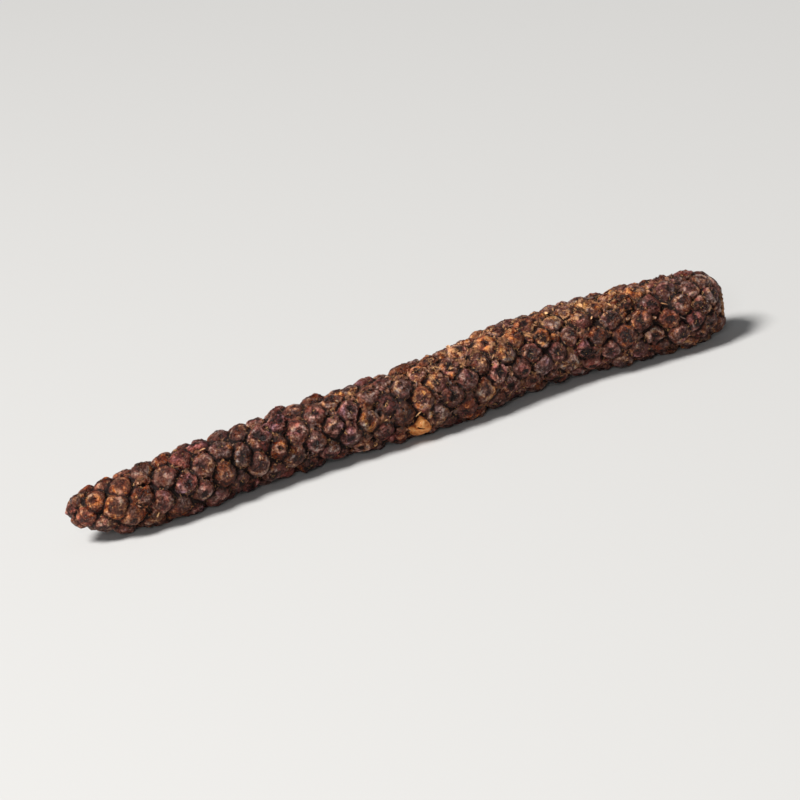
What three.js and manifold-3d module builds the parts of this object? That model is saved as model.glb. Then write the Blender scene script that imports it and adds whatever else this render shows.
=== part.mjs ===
// One dried long pepper: a slender fruiting spike made of a few hundred small
// drupes grown together round a core, with the torn socket of the stalk at its
// thick end. It lies on its side on a table.
//
// Millimetres. +X runs along the spike from the tip to the stalk end, +Z is up,
// the table is z = 0. The origin is the middle of the footprint, on the table.
import * as THREE from "three";
import { mergeVertices } from "three/addons/utils/BufferGeometryUtils.js";
import Module from "manifold-3d";

// ---------------------------------------------------------------- dimensions
// Meridian of the spike at the crowns of the drupes, as [distance along the
// axis, radius]. The last points are the rim and the hollow of the stalk socket.
const MERIDIAN = [
  [0.0, 0.0], [0.12, 0.52], [0.45, 0.99], [1.05, 1.33], [2.0, 1.62],
  [3.4, 1.96], [5.6, 2.21], [8.2, 2.32], [11.0, 2.28], [14.0, 2.28],
  [17.5, 2.32], [21.0, 2.36], [24.3, 2.5], [27.4, 2.63], [31.3, 2.69],
  [34.3, 2.62], [36.9, 2.61], [40.2, 2.76], [43.2, 2.69], [45.2, 2.7],
  [46.4, 2.55], [47.15, 2.28], [47.62, 1.86], [47.86, 1.46], [47.95, 1.18],
  [47.97, 1.0], [48.1, 0.93], [48.2, 0.83], [48.13, 0.73], [47.9, 0.62],
  [47.7, 0.42], [47.62, 0.2], [47.62, 0.0],
];
const SOCKET_RADIUS = 1.12; // nearer the axis than this the stalk end has no drupes

// Line of the axis: [distance along X, sideways Y, height of the axis Z].
const AXIS = [
  [-2.0, 0.64, 2.71], [0.0, -0.05, 2.54], [2.2, -0.76, 2.31],
  [4.8, -1.22, 2.17], [8.5, -1.17, 2.27], [13.0, -0.89, 2.44],
  [18.0, -0.91, 2.5], [23.0, -1.19, 2.48], [28.0, -1.21, 2.54],
  [32.5, -0.57, 2.78], [37.0, -0.63, 2.81], [40.5, -1.2, 2.73],
  [43.5, -1.63, 2.67], [46.0, -1.77, 2.59], [48.2, -2.34, 2.28],
  [50.5, -3.18, 1.97],
];
const WIDE = 1.025; // cross-section: a little wider than tall, as it dried lying
const TALL = 0.975;

// Drupes: they follow one spiral at the golden angle, so neighbours stand five
// and eight places apart. CELL is the area each one takes, along the axis.
const GOLDEN_ANGLE = Math.PI * (3 - Math.sqrt(5));
const FIRST_ANGLE = 0.4;
const CELL = [
  [0.0, 1.4], [1.0, 1.9], [3.0, 2.7], [6.0, 3.05], [14.0, 2.9],
  [24.0, 2.72], [34.0, 2.52], [44.0, 2.38], [48.0, 2.1],
];
const FURROW_DEPTH = 0.3; // crown of a drupe down to the furrow round it
const RESTING_FLAT = 0.18; // the crowns that touch the table are pressed flat by this
const AROUND = 44; // facets round the spike
const RING_STEP = 0.46; // distance between rings of vertices
const RING_STEP_END = 0.17; // the same over the stalk end
const END_FROM = 47.0;

// ---------------------------------------------------------------- small tools
// A smooth line through [x, a, b, ...] rows, read at any x.
function smoothRow(rows, x) {
  const n = rows.length;
  let i = 0;
  while (i < n - 2 && x > rows[i + 1][0]) i++;
  const p0 = rows[Math.max(i - 1, 0)], p1 = rows[i], p2 = rows[i + 1], p3 = rows[Math.min(i + 2, n - 1)];
  const h = p2[0] - p1[0];
  const t = Math.min(Math.max((x - p1[0]) / h, 0), 1);
  return p1.slice(1).map((v1, k) => {
    const v0 = p0[k + 1], v2 = p2[k + 1], v3 = p3[k + 1];
    const m1 = p2 === p0 ? 0 : ((v2 - v0) / (p2[0] - p0[0])) * h;
    const m2 = p3 === p1 ? 0 : ((v3 - v1) / (p3[0] - p1[0])) * h;
    const t2 = t * t, t3 = t2 * t;
    return (2 * t3 - 3 * t2 + 1) * v1 + (t3 - 2 * t2 + t) * m1 + (-2 * t3 + 3 * t2) * v2 + (t3 - t2) * m2;
  });
}
// A number from 0 to 1 that belongs to drupe k.
function chance(k, salt) {
  const v = Math.sin((k + 1) * 12.9898 + salt * 78.233) * 43758.5453;
  return v - Math.floor(v);
}
const smoothstep = (a, b, x) => {
  const t = Math.min(Math.max((x - a) / (b - a), 0), 1);
  return t * t * (3 - 2 * t);
};

// ---------------------------------------------------------------- the spike
const meridian = new THREE.SplineCurve(MERIDIAN.map(([s, r]) => new THREE.Vector2(s, r)));
const FINE = 4000;
const line = []; // { s, r, l } along the meridian, l being the length so far
for (let i = 0; i <= FINE; i++) {
  const p = meridian.getPoint(i / FINE);
  const q = { s: p.x, r: Math.max(p.y, 0), l: 0 };
  if (i) q.l = line[i - 1].l + Math.hypot(q.s - line[i - 1].s, q.r - line[i - 1].r);
  line.push(q);
}
const LENGTH = line[FINE].l;
function onMeridian(l) {
  let a = 0, b = FINE;
  while (b - a > 1) {
    const m = (a + b) >> 1;
    if (line[m].l <= l) a = m;
    else b = m;
  }
  const t = (l - line[a].l) / Math.max(line[b].l - line[a].l, 1e-12);
  return {
    s: line[a].s + (line[b].s - line[a].s) * t,
    r: line[a].r + (line[b].r - line[a].r) * t,
  };
}

// Centre of the axis at s and the two directions across it.
function frameAt(s) {
  const [y, z] = smoothRow(AXIS, s);
  const [ya, za] = smoothRow(AXIS, s - 0.05);
  const [yb, zb] = smoothRow(AXIS, s + 0.05);
  const along = new THREE.Vector3(0.1, yb - ya, zb - za).normalize();
  const up = new THREE.Vector3(0, 0, 1).addScaledVector(along, -along.z).normalize();
  const side = new THREE.Vector3().crossVectors(along, up); // towards -Y
  return { centre: new THREE.Vector3(s, y, z), along, up, side };
}
function place(s, r, angle) {
  const f = frameAt(s);
  return f.centre
    .addScaledVector(f.side, r * WIDE * Math.cos(angle))
    .addScaledVector(f.up, r * TALL * Math.sin(angle));
}

// Drupe k sits where the area counted from the tip reaches k and a half cells.
const drupes = [];
{
  let count = 0, k = 0;
  for (let i = 1; i <= FINE; i++) {
    const p = line[i - 1], q = line[i];
    if (q.s > END_FROM && q.r < SOCKET_RADIUS) break;
    const more = (Math.PI * (p.r + q.r) * (q.l - p.l)) / smoothRow(CELL, (p.s + q.s) / 2)[0];
    while (count + more >= k + 0.5) {
      const t = (k + 0.5 - count) / more;
      const angle = FIRST_ANGLE + k * GOLDEN_ANGLE + (chance(k, 1) - 0.5) * 0.06;
      const wander = q.s > 3 && q.s < 44 ? (chance(k, 3) - 0.5) * 0.16 : 0;
      const s = p.s + (q.s - p.s) * t + wander, r = p.r + (q.r - p.r) * t;
      drupes.push({ at: place(s, r, angle), tall: 0.75 + 0.5 * chance(k, 2) });
      k++;
    }
    count += more;
  }
}

// How high a point of the skin stands between furrow (0) and crown (1).
function dome(p) {
  let d1 = Infinity, d2 = Infinity, best = null;
  for (const d of drupes) {
    const q = d.at.distanceToSquared(p);
    if (q < d1) {
      d2 = d1;
      d1 = q;
      best = d;
    } else if (q < d2) d2 = q;
  }
  d1 = Math.sqrt(d1);
  d2 = Math.sqrt(d2);
  const share = (2 * d1) / Math.max(d1 + d2, 1e-9); // 0 on a crown, 1 in a furrow
  return (1 - Math.pow(share, 2.2)) * best.tall;
}

function spikeGeometry() {
  const places = []; // where the rings stand along the meridian
  const body = line.find((q) => q.s >= END_FROM).l;
  const n1 = Math.round(body / RING_STEP), n2 = Math.round((LENGTH - body) / RING_STEP_END);
  for (let i = 1; i <= n1; i++) places.push((body * i) / n1);
  for (let i = 1; i < n2; i++) places.push(body + ((LENGTH - body) * i) / n2);
  const rings = places.length + 1;
  const positions = [], index = [];
  const start = onMeridian(0), end = onMeridian(LENGTH);
  positions.push(...place(start.s, 0, 0).toArray());
  for (let i = 1; i < rings; i++) {
    const l = places[i - 1];
    const here = onMeridian(l), before = onMeridian(l - 0.02), after = onMeridian(l + 0.02);
    const ds = after.s - before.s, dr = after.r - before.r, n = Math.hypot(ds, dr) || 1;
    const bumpy = here.s < END_FROM ? Math.min(1, here.r / 0.9) : smoothstep(SOCKET_RADIUS - 0.1, SOCKET_RADIUS + 0.5, here.r);
    for (let j = 0; j < AROUND; j++) {
      const angle = ((j + (i % 2) * 0.5) / AROUND) * 2 * Math.PI;
      const h = (dome(place(here.s, here.r, angle)) - 1) * FURROW_DEPTH * bumpy;
      const p = place(here.s - (dr / n) * h, Math.max(here.r + (ds / n) * h, 0.02), angle);
      positions.push(p.x, p.y, p.z);
    }
  }
  const last = positions.length / 3;
  positions.push(...place(end.s, 0, 0).toArray());
  const v = (i, j) => 1 + (i - 1) * AROUND + ((j + AROUND) % AROUND);
  for (let j = 0; j < AROUND; j++) {
    index.push(0, v(1, j), v(1, j + 1));
    index.push(last, v(rings - 1, j + 1), v(rings - 1, j));
  }
  for (let i = 1; i < rings - 1; i++)
    for (let j = 0; j < AROUND; j++) {
      const a = v(i, j), b = v(i, j + 1), c = v(i + 1, j), d = v(i + 1, j + 1);
      if (i % 2) {
        // odd rings are turned by half a facet
        index.push(a, d, b, a, c, d);
      } else {
        index.push(a, c, b, b, c, d);
      }
    }
  const g = new THREE.BufferGeometry();
  g.setAttribute("position", new THREE.Float32BufferAttribute(positions, 3));
  g.setIndex(index);
  return g;
}

// ---------------------------------------------------------------- resting flat
// The spike is lowered by RESTING_FLAT and everything under the table is cut
// away, which leaves small level facets on the lowest crowns.
const wasm = await Module();
wasm.setup();
function solid(geometry) {
  const g = geometry.clone();
  g.deleteAttribute("normal");
  g.deleteAttribute("uv");
  const m = mergeVertices(g, 1e-5);
  return new wasm.Manifold(
    new wasm.Mesh({
      numProp: 3,
      vertProperties: new Float32Array(m.attributes.position.array),
      triVerts: new Uint32Array(m.index.array),
    }),
  );
}
function geometryOf(manifold) {
  const m = manifold.getMesh();
  const p = new Float32Array(m.numVert * 3);
  for (let i = 0; i < m.numVert; i++)
    for (let k = 0; k < 3; k++) p[i * 3 + k] = m.vertProperties[i * m.numProp + k];
  const g = new THREE.BufferGeometry();
  g.setAttribute("position", new THREE.BufferAttribute(p, 3));
  g.setIndex(new THREE.BufferAttribute(new Uint32Array(m.triVerts), 1));
  return g;
}

const raw = spikeGeometry();
raw.computeBoundingBox();
raw.translate(0, 0, -raw.boundingBox.min.z - RESTING_FLAT);
const below = new THREE.BoxGeometry(80, 30, 6).translate(23, 0, -3);
const body = geometryOf(solid(raw).subtract(solid(below)));
body.computeBoundingBox();
const box = body.boundingBox;
body.translate(-(box.min.x + box.max.x) / 2, -(box.min.y + box.max.y) / 2, -box.min.z);
body.computeVertexNormals();

const dried = new THREE.MeshStandardMaterial({
  color: new THREE.Color().setRGB(0.33, 0.227, 0.192, THREE.SRGBColorSpace),
  roughness: 0.72,
  metalness: 0,
});
const spike = new THREE.Mesh(body, dried);
spike.name = "long_pepper";

const part = new THREE.Group();
part.add(spike);
export default part;
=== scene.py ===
import math
import bpy
import numpy as np
from mathutils import Matrix, Vector
from mathutils.bvhtree import BVHTree


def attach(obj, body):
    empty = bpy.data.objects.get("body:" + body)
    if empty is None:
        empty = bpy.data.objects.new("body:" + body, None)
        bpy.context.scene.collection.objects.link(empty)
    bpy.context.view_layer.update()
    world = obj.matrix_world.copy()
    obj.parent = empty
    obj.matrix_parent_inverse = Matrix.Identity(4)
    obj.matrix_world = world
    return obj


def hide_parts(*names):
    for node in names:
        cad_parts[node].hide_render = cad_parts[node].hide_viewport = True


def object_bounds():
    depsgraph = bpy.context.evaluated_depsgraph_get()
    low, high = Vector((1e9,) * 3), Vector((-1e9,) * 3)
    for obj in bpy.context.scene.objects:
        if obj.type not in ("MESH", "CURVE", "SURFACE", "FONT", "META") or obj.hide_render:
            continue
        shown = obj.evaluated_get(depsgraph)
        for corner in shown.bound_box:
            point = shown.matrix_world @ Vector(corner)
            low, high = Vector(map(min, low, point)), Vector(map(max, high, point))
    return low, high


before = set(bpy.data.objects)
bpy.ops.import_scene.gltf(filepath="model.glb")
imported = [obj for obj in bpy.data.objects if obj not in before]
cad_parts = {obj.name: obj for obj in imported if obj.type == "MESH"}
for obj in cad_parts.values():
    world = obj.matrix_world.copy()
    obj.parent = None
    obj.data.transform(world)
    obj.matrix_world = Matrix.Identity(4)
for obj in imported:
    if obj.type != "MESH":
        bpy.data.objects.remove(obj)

CAD_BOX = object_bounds()
SEED = 20261
rng = np.random.default_rng(SEED)

# ------------------------------------------------------------------ dimensions
MERIDIAN = np.array([
    [0.0, 0.0], [0.12, 0.52], [0.45, 0.99], [1.05, 1.33], [2.0, 1.62],
    [3.4, 1.96], [5.6, 2.21], [8.2, 2.32], [11.0, 2.28], [14.0, 2.28],
    [17.5, 2.32], [21.0, 2.36], [24.3, 2.5], [27.4, 2.63], [31.3, 2.69],
    [34.3, 2.62], [36.9, 2.61], [40.2, 2.76], [43.2, 2.69], [45.2, 2.7],
    [46.4, 2.55], [47.15, 2.28], [47.62, 1.86], [47.86, 1.46], [47.95, 1.18],
    [47.97, 1.0], [48.1, 0.93], [48.2, 0.83], [48.13, 0.73], [47.9, 0.62],
    [47.7, 0.42], [47.62, 0.2], [47.62, 0.0],
])
SOCKET_RADIUS = 1.12
AXIS = np.array([
    [-2.0, 0.64, 2.71], [0.0, -0.05, 2.54], [2.2, -0.76, 2.31],
    [4.8, -1.22, 2.17], [8.5, -1.17, 2.27], [13.0, -0.89, 2.44],
    [18.0, -0.91, 2.5], [23.0, -1.19, 2.48], [28.0, -1.21, 2.54],
    [32.5, -0.57, 2.78], [37.0, -0.63, 2.81], [40.5, -1.2, 2.73],
    [43.5, -1.63, 2.67], [46.0, -1.77, 2.59], [48.2, -2.34, 2.28],
    [50.5, -3.18, 1.97],
])
WIDE, TALL = 1.025, 0.975
GOLDEN_ANGLE = math.pi * (3 - math.sqrt(5))
FIRST_ANGLE = 0.4
CELL = np.array([
    [0.0, 1.4], [1.0, 1.9], [3.0, 2.7], [6.0, 3.05], [14.0, 2.9],
    [24.0, 2.72], [34.0, 2.52], [44.0, 2.38], [48.0, 2.1],
])
FURROW_CAD = 0.3
END_FROM = 47.0
SHIFT = np.array([-24.214023, 1.1469395, -0.1306853])  # drawing frame to model frame
TABLE = -SHIFT[2]  # height of the table in the drawing frame

VOXEL = 0.078
SKIN_TRIANGLES = 194000


# ------------------------------------------------------------------ small tools
def smooth_rows(rows, x):
    """A smooth line through [x, a, b, ...] rows, read at every x."""
    rows = np.asarray(rows, float)
    x = np.atleast_1d(np.asarray(x, float))
    n = len(rows)
    xs = rows[:, 0]
    i = np.clip(np.searchsorted(xs, x, side="left") - 1, 0, n - 2)
    i0, i3 = np.maximum(i - 1, 0), np.minimum(i + 2, n - 1)
    h = (xs[i + 1] - xs[i])
    t = np.clip((x - xs[i]) / h, 0, 1)[:, None]
    v0, v1, v2, v3 = rows[i0, 1:], rows[i, 1:], rows[i + 1, 1:], rows[i3, 1:]
    h = h[:, None]
    d1 = np.where((i0 == i + 1)[:, None], 1, (xs[i + 1] - xs[i0])[:, None])
    d2 = (xs[i3] - xs[i])[:, None]
    m1, m2 = (v2 - v0) / d1 * h, (v3 - v1) / d2 * h
    t2, t3 = t * t, t * t * t
    return (2 * t3 - 3 * t2 + 1) * v1 + (t3 - 2 * t2 + t) * m1 + (-2 * t3 + 3 * t2) * v2 + (t3 - t2) * m2


def chance(k, salt):
    """A number from 0 to 1 that belongs to drupe k."""
    v = np.sin((np.asarray(k, float) + 1) * 12.9898 + salt * 78.233) * 43758.5453
    return v - np.floor(v)


def smoothstep(a, b, x):
    t = np.clip((x - a) / (b - a), 0, 1)
    return t * t * (3 - 2 * t)


_perm = np.random.default_rng(11).permutation(512).astype(np.int64)
_perm = np.concatenate([_perm, _perm, _perm])
_grads = np.random.default_rng(12).normal(size=(512, 3))
_grads /= np.linalg.norm(_grads, axis=1)[:, None]


def noise(p):
    """Gradient noise from about -1 to 1 at points p."""
    p = np.asarray(p, np.float64)
    c = np.floor(p).astype(np.int64)
    f = p - c
    w = f * f * f * (f * (f * 6 - 15) + 10)
    c &= 511
    out = 0
    for dx in (0, 1):
        hx = _perm[(c[..., 0] + dx) & 511]
        wx = w[..., 0] if dx else 1 - w[..., 0]
        for dy in (0, 1):
            hy = _perm[(hx + c[..., 1] + dy) & 511]
            wy = w[..., 1] if dy else 1 - w[..., 1]
            for dz in (0, 1):
                g = _grads[_perm[(hy + c[..., 2] + dz) & 511]]
                wz = w[..., 2] if dz else 1 - w[..., 2]
                d = g[..., 0] * (f[..., 0] - dx) + g[..., 1] * (f[..., 1] - dy) + g[..., 2] * (f[..., 2] - dz)
                out = out + d * wx * wy * wz
    return out * 1.6


# ------------------------------------------------------------------ the spike's own frame
def catmull(points, n):
    points = np.asarray(points, float)
    last = len(points) - 1
    t = np.arange(n + 1) / n * last
    k = np.minimum(np.floor(t).astype(int), last)
    w = (t - k)[:, None]
    p0 = points[np.where(k == 0, 0, k - 1)]
    p1, p2 = points[k], points[np.minimum(k + 1, last)]
    p3 = points[np.minimum(k + 2, last)]
    v0, v1 = (p2 - p0) * 0.5, (p3 - p1) * 0.5
    return (2 * p1 - 2 * p2 + v0 + v1) * w ** 3 + (-3 * p1 + 3 * p2 - 2 * v0 - v1) * w ** 2 + v0 * w + p1


def frames_exact(s):
    yz = smooth_rows(AXIS, s)
    a, b = smooth_rows(AXIS, s - 0.05), smooth_rows(AXIS, s + 0.05)
    along = np.stack([np.full_like(s, 0.1), b[:, 0] - a[:, 0], b[:, 1] - a[:, 1]], 1)
    along /= np.linalg.norm(along, axis=1)[:, None]
    up = np.array([0.0, 0.0, 1.0]) - along * along[:, 2:3]
    up /= np.linalg.norm(up, axis=1)[:, None]
    side = np.cross(along, up)
    return np.concatenate([s[:, None], yz], 1), along, up, side


_F0, _FD = -2.0, 0.02
_frame_table = np.concatenate(frames_exact(_F0 + _FD * np.arange(2626)), 1)


def frames(s):
    """Centre of the axis at each s, and the directions along, up and side (towards -Y)."""
    x = np.clip((np.atleast_1d(s) - _F0) / _FD, 0, 2624.999)
    i = x.astype(int)
    w = (x - i)[:, None]
    v = _frame_table[i] * (1 - w) + _frame_table[i + 1] * w
    return v[:, 0:3], v[:, 3:6], v[:, 6:9], v[:, 9:12]


def place(s, r, angle):
    c, along, up, side = frames(s)
    return c + side * (r * WIDE * np.cos(angle))[:, None] + up * (r * TALL * np.sin(angle))[:, None]


FINE = 4000
line = catmull(MERIDIAN, FINE)
line[:, 1] = np.maximum(line[:, 1], 0)
line_l = np.concatenate([[0], np.cumsum(np.hypot(*np.diff(line, axis=0).T))])

# Drupe k sits where the area counted from the tip reaches k and a half cells.
seeds = []  # s, r, angle, tall
mid_s = (line[1:, 0] + line[:-1, 0]) / 2
step = math.pi * (line[1:, 1] + line[:-1, 1]) * np.diff(line_l) / smooth_rows(CELL, mid_s)[:, 0]
count, k = 0.0, 0
for i in range(FINE):
    if line[i + 1, 0] > END_FROM and line[i + 1, 1] < SOCKET_RADIUS:
        break
    while count + step[i] >= k + 0.5:
        t = (k + 0.5 - count) / step[i]
        wander = (chance(k, 3) - 0.5) * 0.16 if 3 < line[i + 1, 0] < 44 else 0.0
        s = line[i, 0] + (line[i + 1, 0] - line[i, 0]) * t + wander
        r = line[i, 1] + (line[i + 1, 1] - line[i, 1]) * t
        seeds.append([s, r, FIRST_ANGLE + k * GOLDEN_ANGLE + (chance(k, 1) - 0.5) * 0.06, 0.75 + 0.5 * chance(k, 2)])
        k += 1
    count += step[i]
seeds = np.array(seeds)
N = len(seeds)

# The envelope of the crowns with no socket, as [distance along, radius].
shell = line[: int(np.argmax((line[:, 0] > END_FROM) & (line[:, 1] < 1.0)))]
shell = np.vstack([shell[::6], [[47.98, 0.8], [47.98, 0.4], [47.98, 0.0]]])


def envelope(s, q):
    """Signed distance to the crown envelope at (s, q), from a table."""
    return _table_read(_shell_table, s, q)


_T0, _T1, _TD = np.array([-1.2, 0.0]), np.array([49.6, 4.2]), 0.05


def _table_make(poly):
    ss = np.arange(_T0[0], _T1[0] + _TD, _TD)
    qq = np.arange(_T0[1], _T1[1] + _TD, _TD)
    S, Q = np.meshgrid(ss, qq, indexing="ij")
    P = np.stack([S.ravel(), Q.ravel()], 1)
    a, b = poly[:-1], poly[1:]
    ab = b - a
    best = np.full(len(P), 1e9)
    for lo in range(0, len(P), 8192):
        p = P[lo:lo + 8192]
        for j0 in range(0, len(a), 160):
            aj, dj = a[j0:j0 + 160], ab[j0:j0 + 160]
            t = np.clip(((p[:, None] - aj) * dj).sum(2) / np.maximum((dj * dj).sum(1), 1e-12), 0, 1)
            d = np.linalg.norm(p[:, None] - (aj + t[..., None] * dj), axis=2).min(1)
            best[lo:lo + 8192] = np.minimum(best[lo:lo + 8192], d)
    rs = np.interp(ss, poly[:, 0], poly[:, 1], left=-1, right=-1)
    inside = Q < rs[:, None]
    return np.where(inside, -1, 1) * best.reshape(S.shape)


def _table_read(table, s, q):
    x = np.clip((np.asarray(s) - _T0[0]) / _TD, 0, table.shape[0] - 1.001)
    y = np.clip((np.asarray(q) - _T0[1]) / _TD, 0, table.shape[1] - 1.001)
    i, j = x.astype(int), y.astype(int)
    u, v = x - i, y - j
    return (table[i, j] * (1 - u) * (1 - v) + table[i + 1, j] * u * (1 - v)
            + table[i, j + 1] * (1 - u) * v + table[i + 1, j + 1] * u * v)


_shell_table = _table_make(shell)


def unbend(p):
    """(s, q, angle) of points: distance along the axis, radius in the round section, angle."""
    p = np.asarray(p, float)
    s = p[:, 0].copy()
    for _ in range(2):
        c, along, up, side = frames(s)
        s = s + ((p - c) * along).sum(1) / along[:, 0] * 0.9
    c, along, up, side = frames(s)
    d = p - c
    a, b = (d * side).sum(1) / WIDE, (d * up).sum(1) / TALL
    return s, np.hypot(a, b), np.arctan2(b, a)


# ------------------------------------------------------------------ the drupes
S, R, ANG, TALLNESS = seeds.T
at = place(S, R, ANG)
cen, along, up, side = frames(S)
radial = side * np.cos(ANG)[:, None] + up * np.sin(ANG)[:, None]
e = 0.04
gs = (envelope(S + e, R) - envelope(S - e, R)) / (2 * e)
gr = (envelope(S, R + e) - envelope(S, np.maximum(R - e, 0))) / (2 * e)
normal = along * gs[:, None] + radial * gr[:, None]
normal /= np.linalg.norm(normal, axis=1)[:, None]
tang = along - normal * (along * normal).sum(1)[:, None]   # towards the stalk end
tn = np.linalg.norm(tang, axis=1)
tang = np.where(tn[:, None] > 0.2, tang, radial - normal * (radial * normal).sum(1)[:, None])
tang /= np.linalg.norm(tang, axis=1)[:, None]
around = np.cross(normal, tang)

spacing = np.sqrt(smooth_rows(CELL, S)[:, 0])
# crowns as high as in the solid model
crown = at + normal * ((TALLNESS - 1) * FURROW_CAD)[:, None]
u1, u2, u3, u4 = (chance(np.arange(N), q) for q in (11, 12, 13, 14))
g1 = rng.normal(size=(N, 10))
g1 = np.clip(g1, -2.2, 2.2)

# lean: towards the tip, as the fruits do, with some disorder
lean_a = -0.10 + 0.13 * g1[:, 0]
lean_b = 0.13 * g1[:, 1]
axis_n = normal + tang * lean_a[:, None] + around * lean_b[:, None]
axis_n /= np.linalg.norm(axis_n, axis=1)[:, None]
ta = tang - axis_n * (tang * axis_n).sum(1)[:, None]
ta /= np.linalg.norm(ta, axis=1)[:, None]
tb = np.cross(axis_n, ta)

high = (0.70 + 0.06 * g1[:, 2]) * np.clip(spacing / 1.62, 0.62, 1.05)   # radius along its own axis
full = np.clip(0.99 + 0.055 * g1[:, 3], 0.84, 1.09)                      # how far it fills its cell
full = full * (1 - 0.035 * smoothstep(22, 10, S))                         # stand a little freer towards the tip
squash = 1 + 0.06 * g1[:, 8]

# neighbours of each drupe
D = np.linalg.norm(at[:, None] - at[None], axis=2)
order = np.argsort(D, axis=1)[:, 1:10]

# the kinds: 0 sound, 1 shrivelled, 2 sunken, 3 broken open
kind = np.zeros(N, int)
kind[u1 < 0.26] = 1
kind[(u1 > 0.26) & (u1 < 0.33)] = 2
open_one = int(np.argmin(np.abs(S - 24.3) + 2.4 * np.abs(np.arctan2(np.sin(ANG + 0.28), np.cos(ANG + 0.28)))))
kind[open_one] = 3

dimple_r = np.clip(0.25 + 0.055 * g1[:, 4], 0.14, 0.36) * np.clip(spacing / 1.62, 0.7, 1.1)
dimple_d = np.clip(0.080 + 0.035 * g1[:, 5], 0.02, 0.16) * np.where(u2 > 0.72, 0.2, 1.0) * (1 - 0.5 * smoothstep(18, 6, S))
nipple = np.where((u2 < 0.55), 0.05 + 0.06 * u3, 0.0)
off_a, off_b = 0.07 * g1[:, 6], 0.07 * g1[:, 7]

# bract heads: one in the hollow between each four drupes
gap_at, gap_n, gap_dir, gap_gap = [], [], [], []
for k in range(N - 13):
    four = at[[k, k + 5, k + 8, k + 13]]
    if S[k] < 2.2 or S[k + 13] > 47.0:
        continue
    c = four.mean(0)
    n_ = normal[[k, k + 5, k + 8, k + 13]].mean(0)
    n_ /= np.linalg.norm(n_)
    s0, q0, a0 = unbend(c[None])
    c = c - n_ * envelope(s0, q0)[0]
    gap_at.append(c)
    gap_n.append(n_)
    gap_dir.append(at[k + 13] - at[k])
    gap_gap.append(np.linalg.norm(at[k + 13] - at[k]))
gap_at, gap_n, gap_dir, gap_gap = map(np.array, (gap_at, gap_n, gap_dir, gap_gap))
gap_dir -= gap_n * (gap_dir * gap_n).sum(1)[:, None]
gap_dir /= np.linalg.norm(gap_dir, axis=1)[:, None]
M = len(gap_at)
r3_ = np.random.default_rng(SEED + 3)
gap_r = 0.28 + 0.12 * r3_.random(M)
gap_depth = 0.30 + 0.12 * r3_.random(M)
gap_keep = r3_.random(M) < 0.42 + 0.30 * smoothstep(11, 22, unbend(gap_at)[0])
gap_off = 0.10 * r3_.normal(size=(M, 2))


# ------------------------------------------------------------------ the field
lo = np.array([-0.9, at[:, 1].min() - 1.0, TABLE - 0.30])
hi = np.array([49.1, at[:, 1].max() + 1.0, at[:, 2].max() + 0.8])
dims = np.ceil((hi - lo) / VOXEL).astype(int) + 1
gx, gy, gz = (lo[i] + VOXEL * np.arange(dims[i]) for i in range(3))


def wrinkles(p):
    """Dried, shrunken skin: ridges that fold in on each other, and a fine crust."""
    q = p * 2.1
    w = np.stack([noise(q * 0.8 + 7.1), noise(q * 0.8 + 19.7), noise(q * 0.8 + 31.3)], -1)
    n1 = 1 - np.abs(noise(q * 1.15 + 0.7 * w))
    n2 = 1 - np.abs(noise(q * 2.3 + 0.9 * w + 5.5))
    return 0.62 - (n1 ** 3) * 0.70 - (n2 ** 3) * 0.55


def smooth_min(a, b, k):
    h = np.clip(0.5 + 0.5 * (b - a) / k, 0, 1)
    return b + (a - b) * h - k * h * (1 - h)


# only the voxels near the skin are worked out
cx = frames(gx)[0]
rx = np.interp(gx, shell[:, 0], shell[:, 1], left=0, right=0)
q0 = np.hypot((gy[None, :, None] - cx[:, 1][:, None, None]) / WIDE, (gz[None, None, :] - cx[:, 2][:, None, None]) / TALL)
end_zone = (gx < 2.2) | (gx > 46.2)
near = ((q0 > rx[:, None, None] - 1.25) & (q0 < rx[:, None, None] + 0.55)) | (end_zone[:, None, None] & (q0 < 3.4))
F = np.where(q0 < rx[:, None, None], -1, 1).astype(np.float32)
idx = np.flatnonzero(near.ravel())
n_yz = dims[1] * dims[2]
pts = np.stack([gx[idx // n_yz], gy[(idx // dims[2]) % dims[1]], gz[idx % dims[2]]], 1)
slot = np.full(int(np.prod(dims)), -1, np.int32)
slot[idx] = np.arange(len(idx))
slot = slot.reshape(dims)
sq = np.empty((len(pts), 2))
for c0 in range(0, len(pts), 300000):
    s_, q_, a_ = unbend(pts[c0:c0 + 300000])
    sq[c0:c0 + 300000, 0], sq[c0:c0 + 300000, 1] = s_, q_
env = envelope(sq[:, 0], sq[:, 1])
core_depth = 0.54
val = np.clip(env + core_depth, -1, 1)
label = np.full(len(pts), -1, np.int32)
band = (env > -1.05) & (env < 0.42)


def block(c, reach):
    """The worked-out voxels within reach of c."""
    i0 = np.clip(((c - reach - lo) / VOXEL).astype(int), 0, dims - 1)
    i1 = np.clip(((c + reach - lo) / VOXEL).astype(int) + 2, 1, dims)
    j = slot[i0[0]:i1[0], i0[1]:i1[1], i0[2]:i1[2]].ravel()
    j = j[j >= 0]
    j = j[band[j]]
    d = pts[j] - c
    return j[(d * d).sum(1) < reach * reach * 1.1]


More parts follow.
